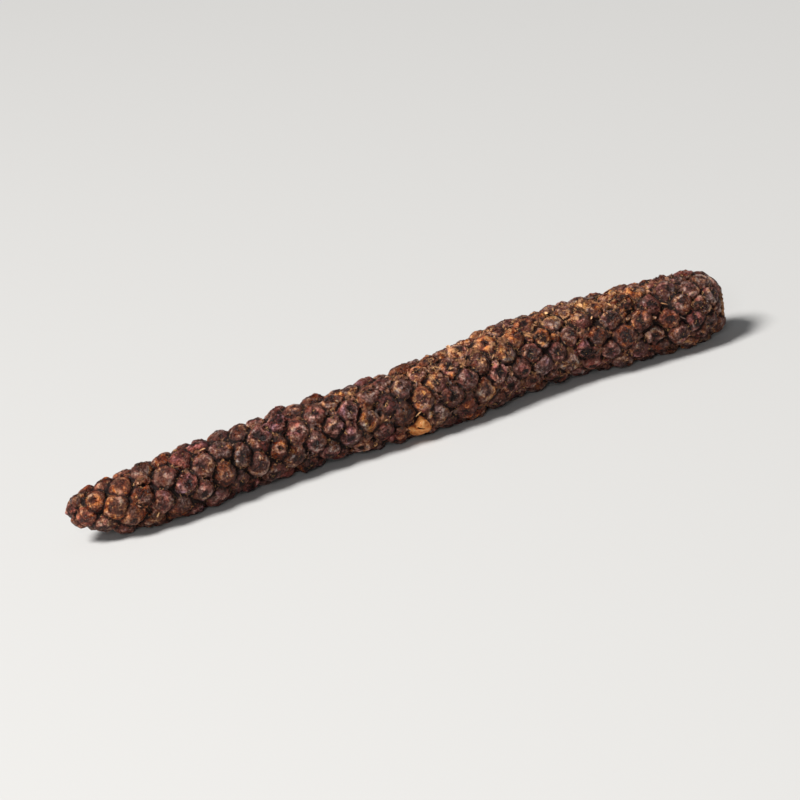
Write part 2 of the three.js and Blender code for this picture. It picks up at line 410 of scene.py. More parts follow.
for k in range(N):
    c = crown[k]
    j = block(c - axis_n[k] * 0.3, 1.15)
    P = pts[j]
    d = P - (c - axis_n[k] * high[k])
    ca, cb, cc = d @ ta[k], d @ tb[k], d @ axis_n[k]
    ca = ca * squash[k]
    cb = cb / squash[k]
    # how far towards its neighbours, 1 on the furrow line between two of them
    v = at[order[k]] - at[k]
    v = v - (v @ normal[k])[:, None] * normal[k]
    m = (v * v).sum(1)
    lat = P - at[k]
    lat = lat - (lat @ normal[k])[:, None] * normal[k]
    t = np.maximum(2 * (lat @ v.T) / m, 0)
    gauge = (t ** 5).sum(-1) ** 0.2
    el = np.hypot(ca, cb)
    rho = (0.66 * gauge + 0.34 * el / (0.5 * spacing[k] * 1.02)) / full[k]
    up_ = cc / high[k]
    f = ((np.abs(0.965 * rho) ** 2.3 + np.abs(np.where(up_ > 0, up_, 0.6 * up_)) ** 2.1) ** 0.455 - 1) * min(0.5 * spacing[k], high[k])
    # apex: dimple, its raised rim, sometimes a point in the middle
    th = np.arctan2(cb, ca)
    apex = np.hypot(ca - off_a[k], cb - off_b[k]) * (1 + 0.22 * np.sin(2 * th + 6.3 * u4[k]) + 0.18 * np.sin(3 * th + 9 * u3[k]))
    top = smoothstep(0.1, 0.6, up_)
    dr = dimple_r[k]
    if kind[k] < 3:
        deep = dimple_d[k] * (1.0 if kind[k] == 0 else 1.4)
        f = f + top * deep * (1 - smoothstep(0.1 * dr, 1.55 * dr, apex))
        f = f - top * 0.015 * np.exp(-((apex - 1.7 * dr) / (0.5 * dr)) ** 2)
        f = f - top * nipple[k] * np.exp(-(apex / 0.075) ** 2)
        # folds that run down from the apex
        ray = np.stack([1.5 * np.cos(th), 1.5 * np.sin(th), 0.8 * el + 3.7 * k], -1)
        f = f + 0.055 * smoothstep(0.8 * dr, 1.8 * dr, el) * noise(ray) * (1.5 if kind[k] == 1 else 1.0)
    if kind[k] == 1:      # shrivelled: folded in on itself
        f = f + 0.03 + 0.05 * np.cos(2 * th + 5 * u4[k]) * smoothstep(0.1, 0.5, el)
    elif kind[k] == 2:    # sunken
        f = f + top * 0.15 * np.exp(-(el / 0.42) ** 2)
    elif kind[k] == 3:    # split open: a dome, a dark slit under it and a thin torn lip
        f = f - 0.08 * top + 0.30 * smoothstep(0.05, -0.45, ca) * smoothstep(0.15, 0.50, cb)
        rr, phi = np.hypot(cb, cc), np.arctan2(cb, cc)
        torn = 0.06 * noise(np.stack([3.3 * ca, 2.1 * rr, 0 * ca + k], -1))
        wide = 0.13 + 0.08 * smoothstep(0.0, -0.4, ca)
        slit = np.sqrt(((ca + 0.06) / 0.46) ** 2 + ((rr * (phi - 0.52) + 0.12 * ca + torn) / wide) ** 2 + ((rr - 0.80) / 0.52) ** 2) - 1
        f = np.maximum(f, -slit * 0.11)
    m2 = f < val[j]
    val[j[m2]] = f[m2]
    label[j[m2]] = k

for i in np.flatnonzero(gap_keep):
    t1 = gap_dir[i]
    t2 = np.cross(gap_n[i], t1)
    c = gap_at[i] - gap_n[i] * gap_depth[i] + t1 * gap_off[i, 0] + t2 * gap_off[i, 1]
    j = block(c, 0.75)
    d = pts[j] - c
    x, y, z = d @ t1, d @ t2, d @ gap_n[i]
    f = (np.sqrt((x / (1.3 * gap_r[i])) ** 2 + (y / gap_r[i]) ** 2 + (z / 0.16) ** 2) - 1) * 0.16
    th = np.hypot(x, y)
    f = f + 0.06 * np.exp(-(th / 0.15) ** 2) * (z > -0.1)
    m2 = f < val[j]
    val[j[m2]] = f[m2]
    label[j[m2]] = N + i

# wrinkled skin, and the furrow floor's own grain
thin = np.flatnonzero(np.abs(val) < 0.26)
tp, tl = pts[thin], label[thin]
amps = np.concatenate([np.array([0.075, 0.120, 0.100, 0.05])[kind], np.full(M, 0.08), [0.05]])  # last: core
add = -amps[tl] * wrinkles(tp) + 0.016 * noise(tp * 6.1 + 3.3)
lump = noise(tp * 1.15 + 40.0)
add += np.where((tl >= 0) & (tl < N), 0.045 * lump, 0)
add += np.where(tl >= N, 0.11 * noise(tp * 3.9 + 11.0), 0)
shr = np.zeros(len(tl), bool)
okb = (tl >= 0) & (tl < N)
shr[okb] = kind[tl[okb]] == 1
add += np.where(shr, 0.07 * noise(tp * 2.0 + 71.0), 0)
val[thin] += add
F.ravel()[idx] = val
LABEL = np.full(F.shape, -1, np.int32)
LABEL.ravel()[idx] = label

# stalk scar: a torn ring and a hollow in the middle of the thick end
ec, ea, eu, es = (v[0] for v in frames(np.array([47.98])))
rel = pts - ec
w_, sa, sb = rel @ ea, rel @ es, rel @ eu
zone = (np.abs(w_) < 1.2) & (np.hypot(sa, sb) < 1.6)
zi = idx[zone]
zp = pts[zone]
w_, sa, sb = w_[zone], sa[zone], sb[zone]
q2, psi = np.hypot(sa, sb), np.arctan2(sb, sa)
ringn = np.stack([2.2 * np.cos(psi), 2.2 * np.sin(psi), 0 * psi], -1)
ring_r = 0.84 + 0.05 * noise(ringn + 3.0)
ring_h = 0.08 + 0.10 * noise(ringn * 2.4 + 9.0)
fz = F.ravel()[zi]
collar = np.maximum(np.abs(q2 - ring_r) - (0.11 - 0.03 * np.clip(w_, 0, 1)), np.abs(w_ - ring_h + 0.45) - 0.5) + 0.02 * noise(zp * 5.0)
fz = smooth_min(fz, collar - 0.02, 0.06)
floor_ = np.sqrt((q2 / (ring_r - 0.12)) ** 2 + ((w_ - 0.25) / 0.72) ** 2) - 1
fz = np.maximum(fz, -floor_ * 0.5 + 0.02 * noise(zp * 4.0))
for j in range(9):   # stubs of the stalk's fibres, in a ring on the floor of the hollow
    aj = 2 * math.pi * j / 9 + 0.25 * math.sin(5 * j)
    rr = 0.36 + 0.05 * math.sin(3.1 * j)
    dd = np.hypot(sa - rr * math.cos(aj), sb - rr * math.sin(aj))
    stub = np.maximum(dd - 0.075, w_ + 0.17 - 0.1 * math.sin(7.7 * j))
    fz = smooth_min(fz, np.maximum(stub, -(w_ + 0.9)), 0.05)
F.ravel()[zi] = fz

# pressed flat where it touches the table
F = np.maximum(F, (TABLE - gz[None, None, :]).astype(np.float32))
F[0], F[-1] = 1, 1
F[:, 0], F[:, -1] = 1, 1
F[:, :, 0], F[:, :, -1] = 1, 1
F = np.where(np.abs(F) < 1e-5, 1e-5, F).astype(np.float32)


def unambiguous(F):
    """Fills the few corners where two sheets of skin would touch along one edge."""
    for _ in range(12):
        hit = 0
        for ax in range(3):
            neg = F < 0
            b, c = [i for i in range(3) if i != ax]

            def cut(A, ib, ic):
                sl = [slice(None)] * 3
                sl[b] = slice(0, -1) if ib == 0 else slice(1, None)
                sl[c] = slice(0, -1) if ic == 0 else slice(1, None)
                return A[tuple(sl)]
            n00, n10, n01, n11 = (cut(neg, *q) for q in ((0, 0), (1, 0), (0, 1), (1, 1)))
            bad1 = n00 & n11 & ~n10 & ~n01
            bad2 = ~n00 & ~n11 & n10 & n01
            hit += int(bad1.sum() + bad2.sum())
            cut(F, 1, 0)[bad1] = -1e-4
            cut(F, 0, 0)[bad2] = -1e-4
        if not hit:
            break
    return F


F = unambiguous(F)


def spread(A, r):
    """Box mean of half-width r voxels along each axis."""
    A = A.astype(np.float32)
    for ax in range(3):
        n = A.shape[ax]
        c = np.cumsum(A, axis=ax, dtype=np.float64)
        c = np.concatenate([np.zeros_like(np.take(c, [0], axis=ax)), c], axis=ax)
        hi_i = np.minimum(np.arange(n) + r + 1, n)
        lo_i = np.maximum(np.arange(n) - r, 0)
        A = ((np.take(c, hi_i, axis=ax) - np.take(c, lo_i, axis=ax)) / (2 * r + 1)).astype(np.float32)
    return A


def sample(A, p):
    x = np.clip((p - lo) / VOXEL, 0, np.array(A.shape) - 1.001)
    i = x.astype(int)
    w = x - i
    out = 0
    for dx in (0, 1):
        for dy in (0, 1):
            for dz in (0, 1):
                ww = (w[:, 0] if dx else 1 - w[:, 0]) * (w[:, 1] if dy else 1 - w[:, 1]) * (w[:, 2] if dz else 1 - w[:, 2])
                out = out + A[i[:, 0] + dx, i[:, 1] + dy, i[:, 2] + dz] * ww
    return out


# how enclosed each point of the skin is, at two widths; the finish uses this to paint shade into furrows and wrinkle
# creases
solid = np.clip(0.5 - F / VOXEL, 0, 1)
HOLLOW = spread(spread(solid, max(1, round(0.22 / VOXEL))), max(1, round(0.14 / VOXEL)))   # wide: furrows
FOLDS = spread(solid, max(1, round(0.09 / VOXEL)))                                        # narrow: wrinkles


# ------------------------------------------------------------------ the surface of the field
def surface(F):
    neg = F < 0
    core_ = (slice(0, -1), slice(1, None))
    total = np.zeros(tuple(n - 1 for n in F.shape), np.int8)
    corners8 = [(ix, iy, iz) for ix in (0, 1) for iy in (0, 1) for iz in (0, 1)]
    for ix, iy, iz in corners8:
        total += neg[core_[ix], core_[iy], core_[iz]]
    active = (total > 0) & (total < 8)
    ids = np.full(active.shape, -1, np.int32)
    idx = np.argwhere(active)
    ids[active] = np.arange(len(idx))
    pos = np.zeros((len(idx), 3))
    cnt = np.zeros(len(idx))
    val = {q: F[idx[:, 0] + q[0], idx[:, 1] + q[1], idx[:, 2] + q[2]].astype(float) for q in corners8}
    for q in corners8:
        for ax in range(3):
            if q[ax]:
                continue
            a, b = val[q], val[tuple(1 if j == ax else q[j] for j in range(3))]
            m = (a < 0) != (b < 0)
            t = np.where(m, a / np.where(m, a - b, 1), 0)
            for j in range(3):
                pos[:, j] += (t if j == ax else float(q[j])) * m
            cnt += m
    pos = lo + (idx + pos / cnt[:, None]) * VOXEL
    quads = []
    for ax in range(3):
        b, c = (ax + 1) % 3, (ax + 2) % 3
        sl0, sl1 = [slice(1, -1)] * 3, [slice(1, -1)] * 3
        sl0[ax], sl1[ax] = slice(0, -1), slice(1, None)
        n0, n1 = neg[tuple(sl0)], neg[tuple(sl1)]
        m = np.argwhere(n0 != n1)
        flip = n0[n0 != n1]
        m[:, b] += 1
        m[:, c] += 1
        corners = []
        for db, dc in ((1, 1), (0, 1), (0, 0), (1, 0)):
            cell = m.copy()
            cell[:, b] -= db
            cell[:, c] -= dc
            corners.append(ids[cell[:, 0], cell[:, 1], cell[:, 2]])
        quad = np.stack(corners, 1)
        quad[~flip] = quad[~flip][:, ::-1]
        quads.append(quad)
    return pos, np.vstack(quads)


def one_piece(verts, faces):
    """Keeps the largest connected surface: no closed pockets inside and no loose crumbs."""
    lab = np.arange(len(verts))
    a, b = faces.ravel(), np.roll(faces, -1, axis=1).ravel()
    while True:
        low = np.minimum(lab[a], lab[b])
        new = lab.copy()
        np.minimum.at(new, a, low)
        np.minimum.at(new, b, low)
        new = new[new]
        new = new[new]
        if (new == lab).all():
            break
        lab = new
    keep = lab == np.bincount(lab).argmax()
    index = np.cumsum(keep) - 1
    faces = faces[keep[faces[:, 0]]]
    return verts[keep], index[faces]


verts, quads = one_piece(*surface(F))
print("skin before reduction", len(verts), "vertices", len(quads), "quads")


def put_mesh(name, verts, faces, to_model=True):
    v = np.asarray(verts, float)
    if to_model:
        v = v + SHIFT
    v = v * 0.001
    me = bpy.data.meshes.new(name)
    if isinstance(faces, np.ndarray) and faces.ndim == 2:
        nf, nc = faces.shape
        me.vertices.add(len(v))
        me.vertices.foreach_set("co", v.astype(np.float32).ravel())
        me.loops.add(nf * nc)
        me.loops.foreach_set("vertex_index", faces.astype(np.int32).ravel())
        me.polygons.add(nf)
        me.polygons.foreach_set("loop_start", np.arange(0, nf * nc, nc, dtype=np.int32))
        me.update(calc_edges=True)
    else:
        me.from_pydata([tuple(p) for p in v], [], [tuple(int(i) for i in f) for f in faces])
    me.validate()
    me.shade_smooth()
    ob = bpy.data.objects.new(name, me)
    bpy.context.scene.collection.objects.link(ob)
    return ob


skin = put_mesh("long_pepper_skin", verts * 1000.0, quads, to_model=False)  # large while it is reduced
dec = skin.modifiers.new("reduce", "DECIMATE")
dec.ratio = min(1.0, SKIN_TRIANGLES / (2.0 * len(quads)))
dec.use_collapse_triangulate = True
deps = bpy.context.evaluated_depsgraph_get()
reduced = bpy.data.meshes.new_from_object(skin.evaluated_get(deps))
nv = len(reduced.vertices)
P = np.empty(nv * 3, np.float32)
reduced.vertices.foreach_get("co", P)
P = P.reshape(-1, 3).astype(float)
nt = len(reduced.polygons)
rt = np.empty(nt * 3, np.int32)
reduced.loops.foreach_get("vertex_index", rt)
rt = rt.reshape(-1, 3)
bpy.data.objects.remove(skin)
bpy.data.meshes.remove(reduced)
# a triangle that the reduction folded onto itself goes, both its sides
_, first, times = np.unique(np.sort(rt, axis=1), axis=0, return_inverse=True, return_counts=True)
P, rt = one_piece(P, rt[times[first.ravel()] == 1])
print("skin", len(P), "vertices", len(rt), "triangles")
P[:, 2] = np.maximum(P[:, 2], TABLE)
# the few crowns that stand above the solid model are eased down
high_z = CAD_BOX[1][2] * 1000.0 - SHIFT[2] + 0.03
P[:, 2] = np.where(P[:, 2] > high_z, high_z + (P[:, 2] - high_z) * 0.4, P[:, 2])
skin = put_mesh("long_pepper_skin", P, rt)

# ------------------------------------------------------------------ what the finish reads from the skin
def chaff_at(s, a):
    return smoothstep(21, 30, s) * (1 - smoothstep(40, 46, s)) * np.exp(-((a - 1.25) / 0.60) ** 2)


ps, pq, pa = unbend(P)
li = np.clip(np.round((P - lo) / VOXEL).astype(int), 0, np.array(F.shape) - 1)
lab = LABEL[li[:, 0], li[:, 1], li[:, 2]]
owner = np.zeros(len(P), int)
for k0 in range(0, len(P), 20000):
    dd = np.linalg.norm(P[k0:k0 + 20000, None] - (crown - axis_n * 0.3)[None], axis=2)
    owner[k0:k0 + 20000] = dd.argmin(1)
dcen = P - crown[owner]
la = (dcen * ta[owner]).sum(1)
lb = (dcen * tb[owner]).sum(1)
lc = (dcen * axis_n[owner]).sum(1)
lat = np.hypot(la, lb) / (0.5 * spacing[owner])
me = skin.data


def put_value(name, values):
    a = me.attributes.new(name, "FLOAT", "POINT")
    a.data.foreach_set("value", np.asarray(values, np.float32))


hollow = sample(HOLLOW, P)
folds = sample(FOLDS, P)
print("hollow", np.percentile(hollow, [2, 25, 50, 75, 98]).round(3), "folds", np.percentile(folds, [2, 25, 50, 75, 98]).round(3))
put_value("rim", np.clip(lat, 0, 2))
put_value("hollow", hollow)
put_value("folds", folds)
put_value("deep", np.clip(-envelope(ps, pq) / 0.5, -0.3, 1.6))
put_value("drupe", chance(owner, 21))
put_value("drupe2", chance(owner, 22))
put_value("kind", kind[owner] / 3.0 * ((lab >= 0) & (lab < N)))
put_value("bract", (lab >= N) * 1.0)
put_value("along", np.clip(ps / 48.2, 0, 1))
# loose chaff lies along the upper side of the thicker half; there the finish also paints lighter chips, partly
# painted highlight, and deeper painted shade in the furrows
put_value("chaff", chaff_at(ps, pa))
endd = np.linalg.norm(P - ec, axis=1)
put_value("scar", 1 - smoothstep(0.85, 1.15, endd))
put_value("apex", np.clip(np.hypot(la - off_a[owner], lb - off_b[owner]) / dimple_r[owner] + np.where(lc < -0.35, 2, 0), 0, 4))


# ------------------------------------------------------------------ finish of the skin
def nodes_of(mat):
    mat.use_nodes = True
    nt_ = mat.node_tree
    nt_.nodes.clear()
    return nt_


class G:
    """Short hand for building a node tree."""

    def __init__(self, tree):
        self.t = tree

    def n(self, kind, **kw):
        node = self.t.nodes.new(kind)
        for key, value in kw.items():
            setattr(node, key, value)
        return node

    def link(self, a, b):
        self.t.links.new(a, b)

    def attr(self, name):
        return self.n("ShaderNodeAttribute", attribute_name=name).outputs["Fac"]

    def math(self, op, a, b=None, c=None, clamp=False):
        node = self.n("ShaderNodeMath", operation=op, use_clamp=clamp)
        for i, v in enumerate((a, b, c)):
            if v is None:
                continue
            if isinstance(v, (int, float)):
                node.inputs[i].default_value = v
            else:
                self.link(v, node.inputs[i])
        return node.outputs[0]

    def ramp(self, fac, stops, interp="LINEAR"):
        node = self.n("ShaderNodeValToRGB")
        node.color_ramp.interpolation = interp
        els = node.color_ramp.elements
        while len(els) < len(stops):
            els.new(0.5)
        for el, (pos, col) in zip(els, stops):
            el.position = pos
            el.color = (*col, 1) if len(col) == 3 else col
        self.link(fac, node.inputs[0])
        return node.outputs[0]

    def mix(self, fac, a, b, blend="MIX"):
        node = self.n("ShaderNodeMix", data_type="RGBA", blend_type=blend)
        for sock, v in ((node.inputs[0], fac), (node.inputs[6], a), (node.inputs[7], b)):
            if isinstance(v, (int, float)):
                sock.default_value = v
            elif isinstance(v, tuple):
                sock.default_value = (*v, 1)
            else:
                self.link(v, sock)
        return node.outputs[2]

    def noise(self, vec, scale, detail=2.0, rough=0.5, distort=0.0):
        node = self.n("ShaderNodeTexNoise")
        node.inputs["Scale"].default_value = scale
        node.inputs["Detail"].default_value = detail
        node.inputs["Roughness"].default_value = rough
        node.inputs["Distortion"].default_value = distort
        self.link(vec, node.inputs["Vector"])
        return node.outputs["Fac"]

    def voronoi(self, vec, scale, feature="F1", out="Distance", rand=1.0):
        node = self.n("ShaderNodeTexVoronoi", feature=feature)
        node.inputs["Scale"].default_value = scale
        node.inputs["Randomness"].default_value = rand
        self.link(vec, node.inputs["Vector"])
        return node.outputs[out]

    def total(self, terms, start=0.0):
        """start plus the sum of value times weight."""
        out = start
        for v, w in terms:
            out = self.math("MULTIPLY_ADD", v, w, out)
        return out

    def smooth(self, v, a, b):
        node = self.n("ShaderNodeMapRange", interpolation_type="SMOOTHSTEP", clamp=True)
        node.inputs["From Min"].default_value = a
        node.inputs["From Max"].default_value = b
        self.link(v, node.inputs["Value"])
        return node.outputs["Result"]


def lin(r, g, b):
    """sRGB 0..255 to linear."""
    return tuple(((c / 255) / 12.92 if c <= 10 else (((c / 255) + 0.055) / 1.055) ** 2.4) for c in (r, g, b))


TONE = 0.02


def skin_material():
    mat = bpy.data.materials.new("dried_spike_skin")
    g = G(nodes_of(mat))
    out = g.n("ShaderNodeOutputMaterial")
    bs = g.n("ShaderNodeBsdfPrincipled")
    g.link(bs.outputs[0], out.inputs[0])
    pos = g.n("ShaderNodeTexCoord").outputs["Object"]
    rim, apex = g.attr("rim"), g.attr("apex")
    d1, d2, kindv = g.attr("drupe"), g.attr("drupe2"), g.attr("kind")
    al, scar = g.attr("along"), g.attr("scar")
    hollow, folds, bract, chaff = g.attr("hollow"), g.attr("folds"), g.attr("bract"), g.attr("chaff")
    broken = g.smooth(kindv, 0.85, 1.0)

    fine = g.noise(pos, 7600, 4, 0.7)
    mid = g.noise(pos, 2900, 5, 0.66, 0.5)
    patch = g.noise(pos, 1250, 4, 0.6, 0.8)
    patch2 = g.noise(pos, 1500, 4, 0.6, 0.4)
    broad = g.noise(pos, 260, 2, 0.5)

    # one tone from black to tan: the drupe's own, grain, the dimple, lighter wrinkle ridges, a lighter ring round
    # the dimple that is partly painted highlight, and painted shade in wrinkle creases and furrows, deeper in the
    # chaff zone
    apx = g.math("ADD", apex, g.math("MULTIPLY", g.math("SUBTRACT", mid, 0.5), 1.8))
    own1 = g.math("FRACT", g.math("MULTIPLY", d1, 7.31))
    own2 = g.math("FRACT", g.math("MULTIPLY", d1, 13.7))
    ap = g.math("MULTIPLY", g.smooth(apx, 2.0, 0.2), g.math("SUBTRACT", 1.0, broken))
    ap = g.math("MULTIPLY", ap, g.math("MULTIPLY_ADD", g.smooth(own1, 0.08, 0.62), 0.80, 0.25))
    ap = g.math("MULTIPLY", ap, g.math("MULTIPLY_ADD", g.smooth(al, 0.42, 0.05), -0.55, 1.0))
    # a lighter ring round each dimple: partly the drupe's own tan, partly a painted highlight on the rim's shoulder
    ring = g.math("MULTIPLY", g.smooth(apx, 0.9, 1.8), g.smooth(apx, 3.6, 2.3))
    ring = g.math("MULTIPLY", ring, g.smooth(patch, 0.36, 0.56))
    ring = g.math("MULTIPLY", ring, g.math("MULTIPLY_ADD", own2, 0.8, 0.55))
    shr = g.math("MULTIPLY", g.smooth(kindv, 0.1, 0.3), g.smooth(kindv, 0.95, 0.7))
    ridge = g.smooth(folds, 0.52, 0.28)
    # painted shade in the wrinkles' creases
    crease_shade = g.smooth(folds, 0.52, 0.72)
    # painted shade in the furrows, where the skin is most enclosed
    furrow_shade = g.smooth(g.math("ADD", hollow, g.math("MULTIPLY", g.math("SUBTRACT", mid, 0.5), 0.25)), 0.46, 0.67)
    tip = g.smooth(al, 0.19, 0.02)
    thick_end = g.smooth(al, 0.78, 0.98)
    tone = g.total([(d1, 0.22), (broad, 0.25), (mid, 2.25), (fine, 1.25), (ridge, 0.17), (ring, 0.33), (tip, -0.04),
                    (thick_end, 0.07), (ap, -0.30), (shr, -0.07), (crease_shade, -0.30), (furrow_shade, -0.58), (g.math("MULTIPLY", furrow_shade, chaff), -0.12)], 0.37 - 0.11 - 0.125 - 1.125 - 0.625 + TONE)
    base = g.ramp(tone, [(0.0, lin(24, 7, 3)), (0.20, lin(54, 25, 17)), (0.42, lin(84, 49, 39)),
                         (0.60, lin(106, 76, 67)), (0.80, lin(142, 117, 105)), (1.0, lin(196, 173, 157))])
    # warmer and redder drupes and patches, the middles of all of them greyer
    tint = g.total([(d2, 0.50), (g.noise(pos, 900, 3, 0.6, 0.6), 1.8), (patch2, 1.6), (chaff, -0.16)], 0.5 - 0.25 - 0.9 - 0.8)
    hue = g.ramp(tint, [(0.0, lin(232, 182, 106)), (0.25, lin(208, 178, 144)), (0.50, lin(184, 182, 184)), (0.75, lin(206, 164, 160)), (1.0, lin(184, 158, 186))])
    base = g.mix(0.95, base, hue, "OVERLAY")
    # rust red on some, grey on others
    rust = g.total([(own1, 0.45), (g.noise(pos, 720, 3, 0.6, 0.5), 2.5), (g.noise(pos, 2150, 3, 0.6, 0.6), 1.6)], 0.55 - 0.225 - 1.25 - 0.80)
    red = g.ramp(rust, [(0.0, lin(216, 238, 255)), (0.5, lin(250, 244, 244)), (1.0, lin(255, 208, 196))])
    base = g.mix(1.0, base, red, "MULTIPLY")
    # dimple centres darkened and tinted blue-grey; the blue-grey is a painted cold reflection
    base = g.mix(g.math("MULTIPLY", ap, 0.75), base, g.mix(1.0, base, lin(206, 214, 246), "MULTIPLY"))
    # tip more orange, thick end greyer
    base = g.mix(g.math("MULTIPLY", tip, 0.75), base, g.mix(1.0, base, lin(255, 222, 178), "MULTIPLY"))
    base = g.mix(g.math("MULTIPLY", thick_end, 0.5), base, g.mix(1.0, base, lin(228, 236, 240), "MULTIPLY"))
    # broken one: pale orange husk, with painted shade in its furrows
    husk = g.ramp(g.total([(mid, 0.9), (ridge, 0.15), (furrow_shade, -0.55)], 0.05), [(0.05, lin(34, 12, 5)), (0.30, lin(150, 76, 32)), (0.48, lin(226, 136, 68)), (0.80, lin(255, 198, 128))])
    base = g.mix(g.math("MULTIPLY", broken, 0.95), base, husk)
    # crusty bract heads and thin golden crumbs in the furrows
    crust = g.math("MULTIPLY", bract, g.smooth(g.math("MULTIPLY_ADD", chaff, 0.06, patch2), 0.50, 0.60))
    base = g.mix(g.math("MULTIPLY", crust, 0.6), base, lin(142, 94, 62))
    gold = g.math("MULTIPLY", g.smooth(g.noise(pos, 3600, 3, 0.6, 1.2), 0.62, 0.65), g.smooth(hollow, 0.42, 0.50))
    base = g.mix(g.math("MULTIPLY", gold, 0.85), base, lin(196, 146, 96))
    # lighter chips along the upper side's chaff: partly loose chaff, partly painted highlight and glints
    chip_and_glint = g.smooth(g.math("MULTIPLY_ADD", chaff, 0.09, g.noise(pos, 2300, 3, 0.75, 0.9)), 0.63, 0.665)
    base = g.mix(g.math("MULTIPLY", g.math("MULTIPLY", chip_and_glint, g.smooth(chaff, 0.05, 0.3)), 0.8), base, g.ramp(mid, [(0.38, lin(116, 68, 40)), (0.60, lin(222, 166, 116))]))
    # stalk scar: papery tan ring; its hollow and furrows darkened with painted shade
    paper = g.ramp(g.total([(mid, 1.0), (furrow_shade, -0.55)], 0.0), [(-0.0, lin(22, 13, 9)), (0.2, lin(64, 41, 26)), (0.45, lin(148, 100, 64)), (0.65, lin(210, 158, 110))])
    base = g.mix(g.math("MULTIPLY", scar, 0.85), base, paper)
    g.link(base, bs.inputs["Base Color"])

    rough = g.math("ADD", 0.20, g.math("MULTIPLY", g.smooth(patch2, 0.38, 0.62), 0.26))
    rough = g.math("ADD", rough, g.math("MULTIPLY", furrow_shade, 0.30), clamp=True)
    g.link(rough, bs.inputs["Roughness"])
    bs.inputs["Specular IOR Level"].default_value = 0.32
    bs.inputs["IOR"].default_value = 1.47

    height = g.math("ADD", g.math("MULTIPLY", fine, 0.8), g.math("MULTIPLY", mid, 1.6))
    bump = g.n("ShaderNodeBump")
    bump.inputs["Strength"].default_value = 1.0
    bump.inputs["Distance"].default_value = 0.00016
    g.link(height, bump.inputs["Height"])
    g.link(bump.outputs[0], bs.inputs["Normal"])
    return mat


def scale_material():
    mat = bpy.data.materials.new("papery_bract")
    g = G(nodes_of(mat))
    out = g.n("ShaderNodeOutputMaterial")
    bs = g.n("ShaderNodeBsdfPrincipled")
    g.link(bs.outputs[0], out.inputs[0])
    pos = g.n("ShaderNodeTexCoord").outputs["Object"]
    own = g.attr("own")
    n1 = g.noise(pos, 3400, 3, 0.6, 0.4)
    mixv = g.math("ADD", g.math("MULTIPLY", own, 0.8), g.math("MULTIPLY", n1, 0.4))
    col = g.ramp(mixv, [(0.15, lin(40, 26, 22)), (0.55, lin(92, 56, 38)), (0.80, lin(156, 104, 66)), (1.0, lin(222, 170, 116))])
    g.link(col, bs.inputs["Base Color"])
    g.link(g.math("ADD", 0.34, g.math("MULTIPLY", n1, 0.35)), bs.inputs["Roughness"])
    bump = g.n("ShaderNodeBump")
    bump.inputs["Strength"].default_value = 0.5
    bump.inputs["Distance"].default_value = 0.00005
    g.link(g.noise(pos, 6500, 2), bump.inputs["Height"])
    g.link(bump.outputs[0], bs.inputs["Normal"])
    return mat


def plain(name, color, rough):
    mat = bpy.data.materials.new(name)
    g = G(nodes_of(mat))
    out = g.n("ShaderNodeOutputMaterial")
    bs = g.n("ShaderNodeBsdfPrincipled")
    g.link(bs.outputs[0], out.inputs[0])
    bs.inputs["Base Color"].default_value = (*color, 1)
    bs.inputs["Roughness"].default_value = rough
    bs.inputs["Specular IOR Level"].default_value = 0.2
    return mat


skin.data.materials.append(skin_material())
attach(skin, "root")
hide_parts("long_pepper")


# ------------------------------------------------------------------ papery bract scales in the furrows
def cupped_scale(rx, ry, thick, cup, r_):
    """A closed thin cupped scale with a ragged outline: centre at 0, z out. Returns vertices and faces."""
    seg, levels = 16, (0.0, 0.45, 0.8, 1.0)
    th = np.arange(seg) / seg * 2 * math.pi
    ragged = 1 + 0.10 * np.sin(2 * th + 6.3 * r_.random()) + 0.10 * np.sin(3 * th + 6.3 * r_.random()) + 0.12 * np.clip(r_.normal(size=seg), -1.6, 1.6)
    lift = 1 + 0.45 * np.sin(th + 6.3 * r_.random()) + 0.30 * np.sin(2 * th + 6.3 * r_.random())
    vs, fs = [], []
    for side_ in (1, -1):
        vs.append([0, 0, side_ * thick / 2])
        for lv in levels[1:]:
            for i in range(seg):
                rr = lv * (1 + (ragged[i] - 1) * lv)
                z = cup * lift[i] * lv ** 2.2
                vs.append([rx * rr * math.cos(th[i]), ry * rr * math.sin(th[i]), z + side_ * thick / 2 * (1 - 0.75 * lv)])
    off = 1 + 3 * seg
    for side_, o in ((1, 0), (-1, off)):
        for i in range(seg):
            j = (i + 1) % seg
            a = [o, o + 1 + i, o + 1 + j]
            fs.append(a if side_ > 0 else a[::-1])
            for lv in range(2):
                p, q = o + 1 + lv * seg, o + 1 + (lv + 1) * seg
                a = [p + i, q + i, q + j, p + j]
                fs.append(a if side_ > 0 else a[::-1])
    for i in range(seg):
        j = (i + 1) % seg
        p, q = 1 + 2 * seg, off + 1 + 2 * seg
        fs.append([p + i, q + i, q + j, p + j])
    return np.array(vs), fs


BOX_LO, BOX_HI = (np.array(q) * 1000.0 for q in CAD_BOX)
skin_tree = BVHTree.FromPolygons(P.tolist(), rt.tolist())


def settle(w):
    """Moves a scale until one part of it is stuck in the skin and most of it stands free."""
    for _ in range(3):
        depth, way = [], []
        for q in w[::3]:
            hit, nor, _i, _d = skin_tree.find_nearest(Vector(q))
            depth.append((Vector(q) - hit).dot(nor))
            way.append(nor)
        depth = np.array(depth)
        i = int(depth.argmin())
        if depth[i] > -0.02:
            w = w - np.array(way[i]) * (depth[i] + 0.035)
        elif (depth < 0).mean() > 0.75:
            w = w + np.array(way[i]) * 0.06
        else:
            break
    return w


